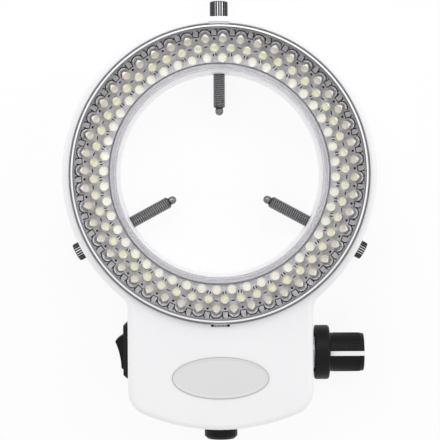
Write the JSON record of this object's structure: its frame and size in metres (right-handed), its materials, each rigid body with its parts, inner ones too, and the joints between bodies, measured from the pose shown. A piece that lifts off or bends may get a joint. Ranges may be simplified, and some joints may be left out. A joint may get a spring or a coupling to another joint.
{
  "type": "microscope ring light",
  "caption": "Ring of small lamps that clamps round a microscope's nose with thumb screws, with a side box holding a rocker switch, a dimmer knob and a DC power inlet.",
  "frame": {"origin": "on the ring's axis, in the plane of the flat back", "axes": "+Z along the ring's axis towards the lamps, +Y away from the control box, +X towards the dimmer knob"},
  "size_m": [0.1, 0.1414, 0.028],
  "materials": {
    "white_plastic": "satin",
    "clear_plastic": "clear",
    "badge_grey": "satin",
    "plate_grey": "satin",
    "board_green": "satin",
    "lamp_epoxy": "clear",
    "chip_black": "matte",
    "brass": "plain",
    "screw_steel": "plated",
    "shaft_aluminium": "plain",
    "black_plastic": "satin",
    "pale_plastic": "satin",
    "wafer_brown": "matte",
    "wire_red": "satin",
    "wire_black": "satin"
  },
  "bodies": {
    "housing": {"front_housing": "white_plastic", "rear_cover": "white_plastic", "cover_screws": "screw_steel", "lens_cover": "clear_plastic", "badge_plate": "badge_grey", "lamp_plate": "plate_grey", "led_board": "board_green", "leds_inner": "lamp_epoxy", "leds_middle": "lamp_epoxy", "leds_outer": "lamp_epoxy", "board_resistors": "chip_black", "thread_inserts": "brass", "switch_frame": "black_plastic", "switch_terminals": "brass", "pot_case": "screw_steel", "pot_wafer": "wafer_brown", "pot_terminals": "brass", "pot_bushing": "brass", "pot_washer": "screw_steel", "pot_nut": "screw_steel", "inlet_body": "black_plastic", "inlet_nut": "screw_steel", "inlet_pin": "brass", "inlet_contact": "brass", "driver_board": "board_green", "driver_regulator": "chip_black", "driver_capacitor": "chip_black", "driver_inductor": "chip_black", "driver_resistors": "chip_black", "wire_header": "pale_plastic", "board_screws": "screw_steel", "supply_wires": "wire_red", "switch_wires": "wire_black", "dimmer_wires": "wire_black", "lamp_wires": "wire_red"},
    "stud_top": {"thumb_stud_top": "screw_steel"},
    "stud_left": {"thumb_stud_left": "screw_steel"},
    "stud_right": {"thumb_stud_right": "screw_steel"},
    "head_top": {"thumb_head_top": "screw_steel"},
    "head_left": {"thumb_head_left": "screw_steel"},
    "head_right": {"thumb_head_right": "screw_steel"},
    "rocker": {"switch_rocker": "black_plastic", "switch_plunger": "pale_plastic", "switch_spring": "screw_steel"},
    "contact": {"switch_contact": "brass"},
    "dimmer": {"dimmer_shaft": "shaft_aluminium", "dimmer_wiper": "brass", "dimmer_knob": "black_plastic", "knob_pointer": "white_plastic"}
  },
  "joints": [
    {"name": "stud_top_travel", "type": "slide", "parent": "housing", "child": "stud_top", "axis": [0, 1, 0], "range_m": [-0.0056, 0.0133]},
    {"name": "stud_left_travel", "type": "slide", "parent": "housing", "child": "stud_left", "axis": [-0.8788, -0.4772, 0], "range_m": [-0.0028, 0.0161]},
    {"name": "stud_right_travel", "type": "slide", "parent": "housing", "child": "stud_right", "axis": [0.8788, -0.4772, 0], "range_m": [-0.0028, 0.0161]},
    {"name": "head_top_turn", "type": "hinge", "parent": "stud_top", "child": "head_top", "pos_m": [0, 0.0525, 0.0085], "axis": [0, 1, 0], "range_deg": [-2890, 6850]},
    {"name": "head_left_turn", "type": "hinge", "parent": "stud_left", "child": "head_left", "pos_m": [-0.04368, -0.02371, 0.0085], "axis": [-0.8788, -0.4772, 0], "range_deg": [-1450, 8290]},
    {"name": "head_right_turn", "type": "hinge", "parent": "stud_right", "child": "head_right", "pos_m": [0.04368, -0.02371, 0.0085], "axis": [0.8788, -0.4772, 0], "range_deg": [-1450, 8290]},
    {"name": "rocker_tip", "type": "hinge", "parent": "housing", "child": "rocker", "pos_m": [-0.029, -0.057, 0.012], "axis": [0, 0, 1], "range_deg": [-26, 0]},
    {"name": "contact_tip", "type": "hinge", "parent": "housing", "child": "contact", "pos_m": [-0.02288, -0.057, 0.012], "axis": [0, 0, 1], "range_deg": [0, 16]},
    {"name": "dimmer_turn", "type": "hinge", "parent": "housing", "child": "dimmer", "pos_m": [0.0295, -0.0576, 0.012], "axis": [1, 0, 0], "range_deg": [-150, 150]}
  ],
  "couplings": [
    {"joint": "head_top_turn", "follows": "stud_top_travel", "rad_per_m": 8976},
    {"joint": "head_left_turn", "follows": "stud_left_travel", "rad_per_m": 8976},
    {"joint": "head_right_turn", "follows": "stud_right_travel", "rad_per_m": 8976},
    {"joint": "contact_tip", "follows": "rocker_tip", "ratio": -0.61538}
  ]
}
